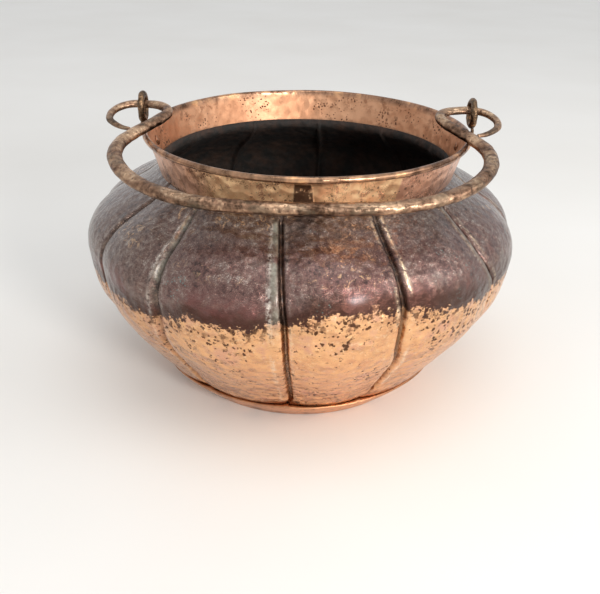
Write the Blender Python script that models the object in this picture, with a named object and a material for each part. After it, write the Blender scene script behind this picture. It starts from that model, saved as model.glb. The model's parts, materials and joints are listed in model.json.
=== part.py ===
"""Lobed copper pot with a flared collar and a swinging bail. Metres, +Z up, front towards -Y."""

import math

import bmesh
import bpy
from mathutils import Matrix, Vector

# ---- driving dimensions (metres, degrees) ----
SHEET = 0.0016  # beaten copper of the bowl and the collar
PAN_SHEET = 0.0015
GAP = 0.00035  # clearance between neighbouring pieces

# bottom pan: (radius, height) of its outside
PAN_OUTSIDE = [
    (0.0, 0.0), (0.060, 0.0), (0.1120, 0.0), (0.1144, 0.0008), (0.1170, 0.0030),
    (0.1228, 0.0090), (0.1302, 0.0152), (0.1388, 0.0240),
]

# bowl: (radius, height) of the lobe crowns from the pan up to the top of the neck lip
BOWL_CROWN = [
    (0.1224, 0.0113), (0.1286, 0.0166), (0.1371, 0.0254), (0.1440, 0.0335), (0.1520, 0.0440),
    (0.1698, 0.0660), (0.1854, 0.0870), (0.1958, 0.1060), (0.2011, 0.1300), (0.2028, 0.1500),
    (0.1968, 0.1660), (0.1834, 0.1800), (0.1676, 0.1900), (0.1533, 0.1980), (0.1416, 0.2062),
    (0.1373, 0.2088), (0.1382, 0.2105), (0.1399, 0.2150),
]
# how far the surface falls from crown to crease (swell), and the depth of the crease itself, by height
SWELL = [
    (0.0, 0.0), (0.020, 0.0025), (0.050, 0.0045), (0.150, 0.0050),
    (0.190, 0.0035), (0.206, 0.0010), (0.209, 0.0),
]
CREASE = [
    (0.0, 0.0012), (0.011, 0.0022), (0.035, 0.0034), (0.170, 0.0038),
    (0.195, 0.0030), (0.206, 0.0022), (0.209, 0.0012), (0.215, 0.0),
]
# degrees from the front, towards +X
CREASE_AT = [-61.0, -36.5, -4.0, 24.0, 53.0, 83.0, 112.0, 142.0, 174.0, 205.0, 236.0, 267.0]
CREASE_HALF_WIDTH = 1.5

# collar: a strip flaring up from the neck to a rolled edge over a wire
COLLAR_FOOT_R = 0.1382
COLLAR_FOOT_Z = 0.2088
BEAD_R = 0.15295
BEAD_Z = 0.24125
BEAD_OUTER = 0.00275
BEAD_INNER = 0.00155
WIRE_RADIUS = 0.0011

# the neck and the collar sit a little off the bowl's axis, and the rim is slightly narrower side to side
MOUTH_SHIFT = 0.0038
MOUTH_NARROWING = 0.032
SHIFT_FROM_Z = 0.150
NARROW_FROM_Z = 0.165

# eyes: forged rings standing on the rim at both sides, each with a strap riveted to the collar
EYE_X = 0.1565
EYE_Z = 0.2584
EYE_RING_RADIUS = 0.0110
EYE_BAR_RADIUS = 0.0032
STRAP_PATH = [
    (0.1565, 0.2474), (0.1582, 0.2446), (0.1586, 0.2412), (0.1574, 0.2378), (0.1543, 0.2350),
    (0.1512, 0.2330), (0.1500, 0.2312), (0.1477, 0.2250), (0.1461, 0.2205),
]
STRAP_THICKNESS = 0.0026
STRAP_WIDTHS = [0.0050, 0.0056, 0.0062, 0.0072, 0.0088, 0.0108, 0.0124, 0.0120, 0.0070]
RIVET_Z = 0.2268
RIVET_SHANK = 0.0021
RIVET_HEAD = 0.0042
RIVET_HOLE = 0.0024

# bail: centre line (x, distance from the hinge axis, bar radius) from the middle of its front to its tip
HINGE_Z = 0.2610
BAIL_TILT = 13.0  # how far the front droops below level at rest
BAIL_SHIFT = 0.0005  # its hooks have some side play in the eyes
BAIL_FLATNESS = 0.80  # the bar is hammered flatter than it is wide
BAIL_HALF = [
    (0.0000, 0.1695, 0.0062), (0.0400, 0.1682, 0.0062), (0.0760, 0.1635, 0.0062), (0.1060, 0.1530, 0.0062),
    (0.1290, 0.1376, 0.0063), (0.1460, 0.1178, 0.0064), (0.1553, 0.0962, 0.0064), (0.1550, 0.0750, 0.0062),
    (0.1470, 0.0577, 0.0059), (0.1365, 0.0423, 0.0056), (0.1280, 0.0298, 0.0053), (0.1236, 0.0192, 0.0050),
    (0.1250, 0.0096, 0.0047), (0.1320, 0.0034, 0.0045), (0.1420, 0.0008, 0.0043), (0.1524, 0.0000, 0.0042),
    (0.1625, 0.0029, 0.0040), (0.1700, 0.0106, 0.0037), (0.1735, 0.0212, 0.0035), (0.1718, 0.0327, 0.0032),
    (0.1650, 0.0414, 0.0028), (0.1585, 0.0464, 0.0024), (0.1525, 0.0486, 0.0019),
]

TURNED_SEGMENTS = 72


def clear_scene():
    for obj in list(bpy.data.objects):
        bpy.data.objects.remove(obj)


def make_material(name, colour, roughness, metallic):
    material = bpy.data.materials.new(name)
    material.use_nodes = True
    shader = material.node_tree.nodes["Principled BSDF"]
    shader.inputs["Base Color"].default_value = (*colour, 1.0)
    shader.inputs["Roughness"].default_value = roughness
    shader.inputs["Metallic"].default_value = metallic
    return material


def ramp(value, low, high):
    """0 below low, 1 above high, smooth between."""
    t = min(max((value - low) / (high - low), 0.0), 1.0)
    return t * t * (3 - 2 * t)


def settle(point):
    """Moves a point of the true round pot to where the hand-made one has it."""
    x, y, z = point
    x *= 1 - MOUTH_NARROWING * ramp(z, NARROW_FROM_Z, BEAD_Z)
    return Vector((x + MOUTH_SHIFT * ramp(z, SHIFT_FROM_Z, COLLAR_FOOT_Z), y, z))


def add_object(name, verts, faces, material, origin=(0.0, 0.0, 0.0)):
    """A smooth-shaded object facing out, whose mesh is given in world space."""
    mesh = bpy.data.meshes.new(name)
    mesh.from_pydata([Vector(v) - Vector(origin) for v in verts], [], faces)
    work = bmesh.new()
    work.from_mesh(mesh)
    bmesh.ops.recalc_face_normals(work, faces=work.faces)
    if work.calc_volume(signed=True) < 0:
        bmesh.ops.reverse_faces(work, faces=work.faces)
    work.to_mesh(mesh)
    work.free()
    mesh.shade_smooth()
    obj = bpy.data.objects.new(name, mesh)
    obj.location = origin
    bpy.context.scene.collection.objects.link(obj)
    if material:
        mesh.materials.append(material)
    return obj


def interpolate(table, at):
    """Straight-line value of a table of (position, value)."""
    if at <= table[0][0]:
        return table[0][1]
    for (low, first), (high, second) in zip(table, table[1:]):
        if at <= high:
            return first + (second - first) * (at - low) / (high - low)
    return table[-1][1]


def profile_normals(profile):
    """Unit normals on the outer side of a profile that runs upwards."""
    normals = []
    for i in range(len(profile)):
        before = profile[max(i - 1, 0)]
        after = profile[min(i + 1, len(profile) - 1)]
        along = Vector((after[0] - before[0], after[1] - before[1])).normalized()
        normals.append(Vector((along.y, -along.x)))
    return normals


def ring_faces(rows, columns, wrap_rows):
    """Quads of a grid closed round its columns and, when asked, round its rows."""
    faces = []
    for i in range(rows if wrap_rows else rows - 1):
        for j in range(columns):
            a = i * columns
            b = (i + 1) % rows * columns
            k = (j + 1) % columns
            faces.append((a + j, a + k, b + k, b + j))
    return faces


def turn_ring(name, loop, material, segments=TURNED_SEGMENTS):
    """A closed (radius, height) loop turned round Z."""
    verts = []
    for radius, height in loop:
        for j in range(segments):
            angle = 2 * math.pi * j / segments
            verts.append(settle((radius * math.cos(angle), radius * math.sin(angle), height)))
    return add_object(name, verts, ring_faces(len(loop), segments, True), material)


def turn_solid(name, profile, material, segments, placed=None):
    """A (radius, height) profile that starts and ends on the axis, turned round local Z."""
    placed = placed or Matrix.Identity(4)
    inner = profile[1:-1]
    verts = []
    for radius, height in inner:
        for j in range(segments):
            angle = 2 * math.pi * j / segments
            point = Vector((radius * math.cos(angle), radius * math.sin(angle), height))
            verts.append(settle(placed @ point))
    faces = ring_faces(len(inner), segments, False)
    first = len(verts)
    verts.append(settle(placed @ Vector((0.0, 0.0, profile[0][1]))))
    verts.append(settle(placed @ Vector((0.0, 0.0, profile[-1][1]))))
    last_row = (len(inner) - 1) * segments
    for j in range(segments):
        k = (j + 1) % segments
        faces.append((first, k, j))
        faces.append((first + 1, last_row + j, last_row + k))
    return add_object(name, verts, faces, material)


def lobe_angles():
    """(angle in degrees, angular distance to the crease, position across the lobe from -1 to 1)."""
    samples = []
    count = len(CREASE_AT)
    for i in range(count):
        start = CREASE_AT[i]
        width = (CREASE_AT[(i + 1) % count] - start) % 360.0
        near = [0.0, 0.45 * CREASE_HALF_WIDTH, CREASE_HALF_WIDTH]
        middle = [width * share for share in (0.17, 0.33, 0.5, 0.67, 0.83)]
        far = [width - CREASE_HALF_WIDTH, width - 0.45 * CREASE_HALF_WIDTH]
        for step in near + middle + far:
            samples.append((start + step, min(step, width - step), 2 * step / width - 1))
    return samples


def bowl_depth(height, to_crease, across):
    """How far the bowl lies below the crown line at this place."""
    depth = interpolate(SWELL, height) * abs(across) ** 2.2
    if to_crease < CREASE_HALF_WIDTH:
        depth += interpolate(CREASE, height) * 0.5 * (1 + math.cos(math.pi * to_crease / CREASE_HALF_WIDTH))
    return depth


def add_bowl(material):
    normals = profile_normals(BOWL_CROWN)
    rows = [(point, normal, 0.0) for point, normal in zip(BOWL_CROWN, normals)]
    rows += [(point, normal, SHEET) for point, normal in zip(reversed(BOWL_CROWN), reversed(normals))]
    samples = lobe_angles()
    verts = []
    for (radius, height), normal, inset in rows:
        for angle, to_crease, across in samples:
            depth = bowl_depth(height, to_crease, across) + inset
            r = radius - normal.x * depth
            z = height - normal.y * depth
            turn = math.radians(angle)
            verts.append(settle((r * math.sin(turn), -r * math.cos(turn), z)))
    return add_object("bowl", verts, ring_faces(len(rows), len(samples), True), material)


def add_bottom_pan(material):
    normals = profile_normals(PAN_OUTSIDE)
    inside = []
    for (radius, height), normal in zip(PAN_OUTSIDE, normals):
        if height == 0.0:
            inside.append((radius, PAN_SHEET))
        else:
            inside.append((radius - normal.x * PAN_SHEET, height - normal.y * PAN_SHEET))
    return turn_solid("bottom_pan", PAN_OUTSIDE + inside[::-1], material, TURNED_SEGMENTS)


def collar_inner(height):
    """Radius of the collar's inner face."""
    top_r = BEAD_R - BEAD_OUTER
    return COLLAR_FOOT_R + (height - COLLAR_FOOT_Z) * (top_r - COLLAR_FOOT_R) / (BEAD_Z - COLLAR_FOOT_Z)


def collar_slope():
    """Lean of the collar wall from the vertical, in radians."""
    return math.atan((BEAD_R - BEAD_OUTER - COLLAR_FOOT_R) / (BEAD_Z - COLLAR_FOOT_Z))


def add_collar(material):
    thick = SHEET / math.cos(collar_slope())
    loop = [(collar_inner(z), z) for z in (COLLAR_FOOT_Z, 0.220, 0.231, 0.2395)]
    for degrees in (176, 140, 105, 70, 35, 0, -35, -70, -100):
        a = math.radians(degrees)
        loop.append((BEAD_R + BEAD_OUTER * math.cos(a), BEAD_Z + BEAD_OUTER * math.sin(a)))
    for degrees in (-100, -50, 0, 50, 100, 150):
        a = math.radians(degrees)
        loop.append((BEAD_R + BEAD_INNER * math.cos(a), BEAD_Z + BEAD_INNER * math.sin(a)))
    loop += [(collar_inner(z) + thick, z) for z in (0.2390, 0.231, 0.220, COLLAR_FOOT_Z - 0.0008)]
    return turn_ring("collar", loop, material)


def add_rim_wire(material):
    loop = []
    for step in range(6):
        a = math.radians(60 * step)
        loop.append((BEAD_R + WIRE_RADIUS * math.cos(a), BEAD_Z + WIRE_RADIUS * math.sin(a)))
    return turn_ring("rim_wire", loop, material)


def add_helper(obj):
    obj.hide_render = True
    obj.display_type = "WIRE"
    return obj


def add_boolean(obj, cutter, operation):
    modifier = obj.modifiers.new(operation.lower(), "BOOLEAN")
    modifier.operation = operation
    modifier.solver = "EXACT"
    modifier.object = cutter


def add_strap(name, side):
    """The flattened tail of an eye, bent round the outside of the rolled edge and down the collar."""
    half = STRAP_THICKNESS / 2
    half_loop = [(-1.0, -0.7), (-0.7, -1.0), (0.7, -1.0), (1.0, -0.7)]
    corners = half_loop + [(-across, -through) for across, through in half_loop]
    verts = []
    for i, ((x, z), width) in enumerate(zip(STRAP_PATH, STRAP_WIDTHS)):
        before = STRAP_PATH[max(i - 1, 0)]
        after = STRAP_PATH[min(i + 1, len(STRAP_PATH) - 1)]
        along = Vector((after[0] - before[0], 0.0, after[1] - before[1])).normalized()
        outward = Vector((-along.z, 0.0, along.x))
        for across, through in corners:
            point = Vector((x, 0.0, z)) + outward * half * through
            verts.append(settle((side * point.x, across * width / 2, point.z)))
    count = len(corners)
    faces = ring_faces(len(STRAP_PATH), count, False)
    faces.append(tuple(range(count)))
    faces.append(tuple(range(len(verts) - count, len(verts))))
    return add_helper(add_object(name, verts, faces, None))


def rivet_frame(side):
    """Local Z points out of the collar along the rivet, from a spot on the collar's inner face."""
    slope = collar_slope()
    spot = Vector((side * collar_inner(RIVET_Z), 0.0, RIVET_Z))
    out = Vector((side * math.cos(slope), 0.0, -math.sin(slope)))
    return Matrix.Translation(spot) @ out.to_track_quat("Z", "Y").to_matrix().to_4x4()


def add_hole_cutter(name, side):
    profile = [(0.0, -0.006), (RIVET_HOLE, -0.006), (RIVET_HOLE, 0.012), (0.0, 0.012)]
    return add_helper(turn_solid(name, profile, None, 16, rivet_frame(side)))


def add_eye(name, side, hole, material):
    """A ring in an upright plane that holds the bail, in one piece with its strap."""
    centre = Vector((side * EYE_X, 0.0, EYE_Z))
    verts = []
    around, section = 28, 10
    for i in range(section):
        b = 2 * math.pi * i / section
        reach = EYE_RING_RADIUS + EYE_BAR_RADIUS * math.cos(b)
        for j in range(around):
            a = 2 * math.pi * j / around
            local = Vector((EYE_BAR_RADIUS * math.sin(b), reach * math.cos(a), reach * math.sin(a)))
            verts.append(settle(centre + local))
    obj = add_object(name, verts, ring_faces(section, around, True), material, settle(centre))
    add_boolean(obj, add_strap(name + "_strap_helper", side), "UNION")
    add_boolean(obj, hole, "DIFFERENCE")
    return obj


def add_rivet(name, side, material):
    inner = -GAP
    outer = SHEET + GAP + STRAP_THICKNESS + 2 * GAP
    profile = [
        (0.0, inner - 0.0018), (0.6 * RIVET_HEAD, inner - 0.0015), (0.95 * RIVET_HEAD, inner - 0.0006),
        (RIVET_HEAD, inner), (RIVET_SHANK, inner), (RIVET_SHANK, outer), (RIVET_HEAD, outer),
        (0.95 * RIVET_HEAD, outer + 0.0006), (0.6 * RIVET_HEAD, outer + 0.0016), (0.0, outer + 0.0019),
    ]
    return turn_solid(name, profile, material, 16, rivet_frame(side))


def spline_point(points, i, t):
    """Catmull-Rom point between points[i] and points[i + 1]."""
    p0 = points[max(i - 1, 0)]
    p1 = points[i]
    p2 = points[i + 1]
    p3 = points[min(i + 2, len(points) - 1)]
    return (
        p1
        + (p2 - p0) * (t / 2)
        + (2 * p0 - 5 * p1 + 4 * p2 - p3) * (t * t / 2)
        + (3 * p1 - p0 - 3 * p2 + p3) * (t * t * t / 2)
    )


def add_bail(material):
    """One forged bar, hooked at both ends, in a plane that droops towards the front."""
    right = [Vector(p) for p in BAIL_HALF]
    left = [Vector((-p.x, p.y, p.z)) for p in reversed(right[1:])]
    points = left + right
    path = []
    for i in range(len(points) - 1):
        path += [spline_point(points, i, 0.0), spline_point(points, i, 0.5)]
    path.append(points[-1])
    tilt = math.radians(BAIL_TILT)
    outward = Vector((0.0, -math.cos(tilt), -math.sin(tilt)))
    up = Vector((0.0, -math.sin(tilt), math.cos(tilt)))
    hinge = Vector((BAIL_SHIFT, 0.0, HINGE_Z))
    section = 10
    verts = []
    for i, here in enumerate(path):
        before = path[max(i - 1, 0)]
        after = path[min(i + 1, len(path) - 1)]
        flat = Vector((after.x - before.x, after.y - before.y)).normalized()
        side = Vector((1.0, 0.0, 0.0)) * -flat.y + outward * flat.x
        centre = hinge + Vector((here.x, 0.0, 0.0)) + outward * here.y
        for j in range(section):
            a = 2 * math.pi * j / section
            verts.append(centre + (side * math.cos(a) + up * BAIL_FLATNESS * math.sin(a)) * here.z)
    faces = ring_faces(len(path), section, False)
    faces.append(tuple(range(section)))
    faces.append(tuple(range(len(verts) - section, len(verts))))
    return add_object("bail", verts, faces, material, hinge)


def main():
    clear_scene()
    patina = make_material("bowl_copper", (0.30, 0.16, 0.12), 0.38, 1.0)
    bottom = make_material("bottom_copper", (0.76, 0.40, 0.22), 0.35, 1.0)
    polished = make_material("collar_copper", (0.80, 0.46, 0.27), 0.30, 1.0)
    wire = make_material("wire_iron", (0.20, 0.18, 0.16), 0.70, 1.0)
    forged = make_material("eye_bronze", (0.42, 0.30, 0.19), 0.42, 1.0)
    rivets = make_material("rivet_copper", (0.50, 0.30, 0.20), 0.40, 1.0)
    bar = make_material("bail_bronze", (0.52, 0.35, 0.24), 0.40, 1.0)

    add_bottom_pan(bottom)
    add_bowl(patina)
    collar = add_collar(polished)
    add_rim_wire(wire)
    for label, side in (("left", -1), ("right", 1)):
        hole = add_hole_cutter(label + "_hole_helper", side)
        add_boolean(collar, hole, "DIFFERENCE")
        add_eye(label + "_eye", side, hole, forged)
        add_rivet(label + "_rivet", side, rivets)
    add_bail(bar)


main()
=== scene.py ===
"""Looks of the lobed copper pot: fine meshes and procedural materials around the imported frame."""

import json
import math
from types import SimpleNamespace

import bmesh
import bpy
import numpy as np
from mathutils import Matrix, Vector, noise


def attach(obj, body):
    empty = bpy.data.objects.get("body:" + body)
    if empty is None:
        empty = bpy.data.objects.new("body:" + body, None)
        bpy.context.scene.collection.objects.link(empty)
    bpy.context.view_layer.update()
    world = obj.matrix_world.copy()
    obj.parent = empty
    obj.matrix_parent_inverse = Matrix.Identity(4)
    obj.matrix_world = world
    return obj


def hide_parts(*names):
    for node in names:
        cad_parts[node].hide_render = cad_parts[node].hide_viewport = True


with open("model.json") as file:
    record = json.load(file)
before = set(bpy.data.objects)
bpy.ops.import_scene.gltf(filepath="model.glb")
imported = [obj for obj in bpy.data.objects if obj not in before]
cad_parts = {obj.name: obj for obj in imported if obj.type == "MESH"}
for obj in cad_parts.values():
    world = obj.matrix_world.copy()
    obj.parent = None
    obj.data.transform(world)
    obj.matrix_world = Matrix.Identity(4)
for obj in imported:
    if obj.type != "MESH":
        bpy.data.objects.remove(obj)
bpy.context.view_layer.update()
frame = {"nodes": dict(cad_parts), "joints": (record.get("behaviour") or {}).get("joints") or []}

# ---- camera (metres, degrees) ----
CAMERA_AT = (0.0, -0.7117, 0.4271)
CAMERA_PITCH = 25.5
CAMERA_ROLL = 1.2
LENS = 46.55
SHIFT_Y = -0.0333
SENSOR_WIDTH = 36.0  # millimetres, as the lens

# ---- the pot's shape, as the frame has it ----
SHEET = 0.0016
PAN_SHEET = 0.0015
# (radius, height) of the lobes' crowns from the pan up to the top of the neck lip
BOWL_CROWN = [
    (0.1224, 0.0113), (0.1286, 0.0166), (0.1371, 0.0254), (0.1440, 0.0335), (0.1520, 0.0440),
    (0.1698, 0.0660), (0.1854, 0.0870), (0.1958, 0.1060), (0.2011, 0.1300), (0.2028, 0.1500),
    (0.1968, 0.1660), (0.1834, 0.1800), (0.1676, 0.1900), (0.1533, 0.1980), (0.1416, 0.2062),
    (0.1373, 0.2088), (0.1382, 0.2105), (0.1399, 0.2150),
]
# how far the surface falls from crown to crease, and the depth of the crease itself, by height
SWELL = [
    (0.0, 0.0), (0.020, 0.0025), (0.050, 0.0045), (0.150, 0.0050),
    (0.190, 0.0035), (0.206, 0.0010), (0.209, 0.0),
]
CREASE = [
    (0.0, 0.0012), (0.011, 0.0022), (0.035, 0.0034), (0.170, 0.0038),
    (0.195, 0.0030), (0.206, 0.0022), (0.209, 0.0012), (0.215, 0.0),
]
# where the creases run, in degrees from the front, towards +X
CREASE_AT = [-61.0, -36.5, -4.0, 24.0, 53.0, 83.0, 112.0, 142.0, 174.0, 205.0, 236.0, 267.0]
CREASE_HALF_WIDTH = 1.5

# The creases one by one, with places in half widths from the middle, towards +X:
# depth, half width, darkness of the painted groove shade, left bright line of painted highlight, its
# strength, right bright line of painted highlight, its strength,
# middle of the raised band of verdigris, its half width, its strength
CREASE_STYLE = [
    (1.10, 0.75, 1.00, -1.20, 0.25, 1.20, 0.10, 0.00, 0.80, 0.10),
    (0.75, 1.00, 0.55, -1.25, 0.55, 1.55, 0.25, -0.10, 0.95, 0.62),
    (0.95, 0.62, 0.95, -2.05, 1.00, 0.95, 0.25, -1.20, 0.72, 0.95),
    (1.00, 0.72, 1.00, -1.15, 0.50, 1.30, 1.00, 0.00, 0.80, 0.10),
    (0.85, 0.55, 0.90, -1.55, 0.35, 1.10, 0.45, -0.95, 0.60, 0.50),
    (1.00, 0.65, 0.90, -1.20, 0.40, 1.20, 0.40, 0.20, 0.80, 0.35),
    (0.80, 0.90, 0.45, -1.40, 0.50, 1.50, 0.25, -0.30, 0.90, 0.75),
    (1.05, 0.65, 1.00, -1.20, 0.25, 1.20, 0.80, 0.10, 0.80, 0.20),
    (0.80, 0.75, 0.60, -1.90, 0.70, 1.20, 0.30, -1.15, 0.70, 0.85),
    (1.00, 0.65, 0.95, -1.20, 0.30, 1.20, 0.75, 0.00, 0.80, 0.25),
    (0.70, 1.00, 0.35, -1.40, 0.50, 1.50, 0.30, 0.20, 1.00, 0.80),
    (1.00, 0.70, 0.90, -1.30, 0.40, 1.20, 0.40, -0.20, 0.80, 0.40),
]
# how far a crease strays from its straight line by height, in degrees; a smooth fixed noise moves the others
CREASE_STRAY = {
    1: [(0.060, -1.5), (0.110, 0.6), (0.160, 1.0), (0.186, 0.0), (0.200, -2.8)],
    2: [
        (0.035, 1.7), (0.110, 1.1), (0.140, 0.8), (0.166, 0.0),
        (0.178, -0.9), (0.191, -2.2), (0.204, -4.0),
    ],
    3: [(0.050, 3.2), (0.085, 2.3), (0.107, 0.5), (0.149, 0.3), (0.173, -0.6), (0.200, -0.7)],
    4: [(0.110, 5.0), (0.143, 2.8), (0.155, 0.2), (0.173, -2.2), (0.182, -1.9), (0.197, -0.3)],
}
FREE_STRAY = 2.0
FREE_STRAY_LENGTH = 0.070

# collar: a strip flaring up to an edge rolled over a wire
COLLAR_FOOT_R = 0.1382
COLLAR_FOOT_Z = 0.2088
BEAD_R = 0.15295
BEAD_Z = 0.24125
BEAD_OUTER = 0.00275
BEAD_INNER = 0.00155

# the neck and the collar sit off the bowl's axis, and the rim is narrower side to side
MOUTH_SHIFT = 0.0038
MOUTH_NARROWING = 0.032
SHIFT_FROM_Z = 0.150
NARROW_FROM_Z = 0.165

# height of the patina's lower edge by angle from the front
PATINA_EDGE = [
    (-180, 0.135), (-130, 0.142), (-90, 0.130), (-59, 0.122), (-47, 0.130), (-38, 0.122), (-24, 0.136),
    (-13, 0.134), (-1, 0.143), (3, 0.151), (12, 0.151), (22, 0.149), (28, 0.146), (36, 0.139), (47, 0.134),
    (70, 0.133), (100, 0.146), (140, 0.134), (180, 0.135),
]

# (radius, height) of the pan from the middle of its base to its rim
PAN_OUTSIDE = [
    (0.0, 0.0), (0.060, 0.0), (0.1120, 0.0), (0.1144, 0.0008), (0.1170, 0.0030),
    (0.1228, 0.0090), (0.1302, 0.0152), (0.1388, 0.0240),
]

# eyes: rings standing on the rim, each with a strap given as (x, z) and widths, and a rivet
EYE_X = 0.1565
EYE_Z = 0.2584
EYE_RING_RADIUS = 0.0110
EYE_BAR_RADIUS = 0.0032
STRAP_PATH = [
    (0.1565, 0.2474), (0.1582, 0.2446), (0.1586, 0.2412), (0.1574, 0.2378), (0.1543, 0.2350),
    (0.1512, 0.2330), (0.1500, 0.2312), (0.1477, 0.2250), (0.1461, 0.2205),
]
STRAP_THICKNESS = 0.0026
STRAP_WIDTHS = [0.0050, 0.0056, 0.0062, 0.0072, 0.0088, 0.0108, 0.0124, 0.0120, 0.0070]
RIVET_Z = 0.2268
RIVET_SHANK = 0.0021
RIVET_HEAD = 0.0042
RIVET_GAP = 0.00035

# bail: half of its centre line as (x, distance from the hinge axis, bar radius), middle to tip
BAIL_TILT = 13.0
BAIL_FLATNESS = 0.80
BAIL_HALF = [
    (0.0000, 0.1695, 0.0062), (0.0400, 0.1682, 0.0062), (0.0760, 0.1635, 0.0062), (0.1060, 0.1530, 0.0062),
    (0.1290, 0.1376, 0.0063), (0.1460, 0.1178, 0.0064), (0.1553, 0.0962, 0.0064), (0.1550, 0.0750, 0.0062),
    (0.1470, 0.0577, 0.0059), (0.1365, 0.0423, 0.0056), (0.1280, 0.0298, 0.0053), (0.1236, 0.0192, 0.0050),
    (0.1250, 0.0096, 0.0047), (0.1320, 0.0034, 0.0045), (0.1420, 0.0008, 0.0043), (0.1524, 0.0000, 0.0042),
    (0.1625, 0.0029, 0.0040), (0.1700, 0.0106, 0.0037), (0.1735, 0.0212, 0.0035), (0.1718, 0.0327, 0.0032),
    (0.1650, 0.0414, 0.0028), (0.1585, 0.0464, 0.0024), (0.1525, 0.0486, 0.0019),
]


# ---- small helpers for shapes ----
def smooth_step(value, low, high):
    """0 below low, 1 above high, smooth between, for numbers or arrays."""
    t = np.clip((np.asarray(value, float) - low) / (high - low), 0.0, 1.0)
    return t * t * (3 - 2 * t)


def table_value(table, at):
    positions, values = zip(*table)
    return np.interp(at, positions, values)


def settle(points):
    """Moves points of the true round pot to where the hand-made one has them."""
    points = np.array(points, float)
    height = points[..., 2]
    points[..., 0] *= 1 - MOUTH_NARROWING * smooth_step(height, NARROW_FROM_Z, BEAD_Z)
    points[..., 0] += MOUTH_SHIFT * smooth_step(height, SHIFT_FROM_Z, COLLAR_FOOT_Z)
    return points


CURVE_DIVISIONS = 40  # between two given points, before the curve is divided evenly


def curve_through(points, step):
    """Points about one step apart along a Catmull-Rom curve through the given ones."""
    points = np.array(points, float)
    padded = np.vstack([2 * points[0] - points[1], points, 2 * points[-1] - points[-2]])
    fine = []
    for i in range(len(points) - 1):
        p0, p1, p2, p3 = padded[i:i + 4]
        for t in np.linspace(0, 1, CURVE_DIVISIONS, endpoint=False):
            fine.append(0.5 * (2 * p1 + (p2 - p0) * t + (2 * p0 - 5 * p1 + 4 * p2 - p3) * t ** 2
                               + (3 * p1 - p0 - 3 * p2 + p3) * t ** 3))
    fine.append(points[-1])
    fine = np.array(fine)
    run = np.concatenate([[0], np.cumsum(np.linalg.norm(np.diff(fine[:, :2], axis=0), axis=1))])
    wanted = np.linspace(0, run[-1], max(2, round(run[-1] / step) + 1))
    return np.stack([np.interp(wanted, run, fine[:, k]) for k in range(fine.shape[1])], axis=1)


def outward_normals(profile):
    """Unit normals on the outer side of a (radius, height) profile that runs upwards."""
    along = np.gradient(profile, axis=0)
    along /= np.linalg.norm(along, axis=1)[:, None]
    return np.stack([along[:, 1], -along[:, 0]], axis=1)


def lumps(points, size, seed=0.0):
    """Smooth unevenness from -1 to 1 with features of about this size."""
    flat = points.reshape(-1, 3)
    offset = Vector((seed, 2.3 * seed, -1.7 * seed))
    values = [noise.noise(Vector(p) / size + offset) for p in flat]
    return np.array(values).reshape(points.shape[:-1])


def hammer_marks(points, size, seed=0.0):
    """Shallow planished facets: 0 in the middle of a blow, towards 1 on the ridge between two."""
    flat = points.reshape(-1, 3)
    offset = Vector((seed, 1.3 * seed, -0.7 * seed))
    values = [noise.voronoi(Vector(p) / size + offset)[0][0] for p in flat]
    return np.clip(np.array(values).reshape(points.shape[:-1]), 0.0, 1.0) ** 2


def full_turn(count):
    """Evenly spaced angles round a circle, in radians."""
    return np.linspace(0, 2 * np.pi, count, endpoint=False)


def turned(radius, turn, level):
    """Points at these radii and levels, turned by this from the front towards +X, in radians."""
    around = np.broadcast_arrays(radius * np.sin(turn), -radius * np.cos(turn), level)
    return np.stack(around, axis=-1)


def grid_faces(rows, columns, wrap_rows):
    """Quads of a grid of points, closed round its columns and, when asked, round its rows."""
    i = np.arange(rows if wrap_rows else rows - 1)[:, None]
    j = np.arange(columns)[None, :]
    below, above = i * columns, (i + 1) % rows * columns
    right = (j + 1) % columns
    quads = np.stack(np.broadcast_arrays(below + j, below + right, above + right, above + j), axis=-1)
    return quads.reshape(-1, 4).tolist()


def capped(points):
    """Faces of a row of rings, with a flat face closing each end."""
    rings, count = points.shape[:2]
    faces = grid_faces(rings, count, False)
    last = (rings - 1) * count
    faces.append(list(range(count))[::-1])
    faces.append(list(range(last, last + count)))
    return faces


def link(name, data):
    obj = bpy.data.objects.new(name, data)
    bpy.context.scene.collection.objects.link(obj)
    return obj


def add_piece(name, points, faces, material, marks=None):
    """A smooth-shaded mesh at the frame's origin, with its marks as attributes for the material to read."""
    mesh = bpy.data.meshes.new(name)
    mesh.from_pydata(np.asarray(points, float).reshape(-1, 3).tolist(), [], faces)
    solid = bmesh.new()
    solid.from_mesh(mesh)
    if solid.calc_volume(signed=True) < 0:
        mesh.flip_normals()
    solid.free()
    mesh.shade_smooth()
    for mark, values in (marks or {}).items():
        layer = mesh.attributes.new(mark, "FLOAT", "POINT")
        layer.data.foreach_set("value", np.asarray(values, np.float32).ravel())
    mesh.materials.append(material)
    return link(name, mesh)


def settle_in(obj, body, node):
    """obj rides on the body and stands in for the node, which it hides."""
    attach(obj, body)
    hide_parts(node)


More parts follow.
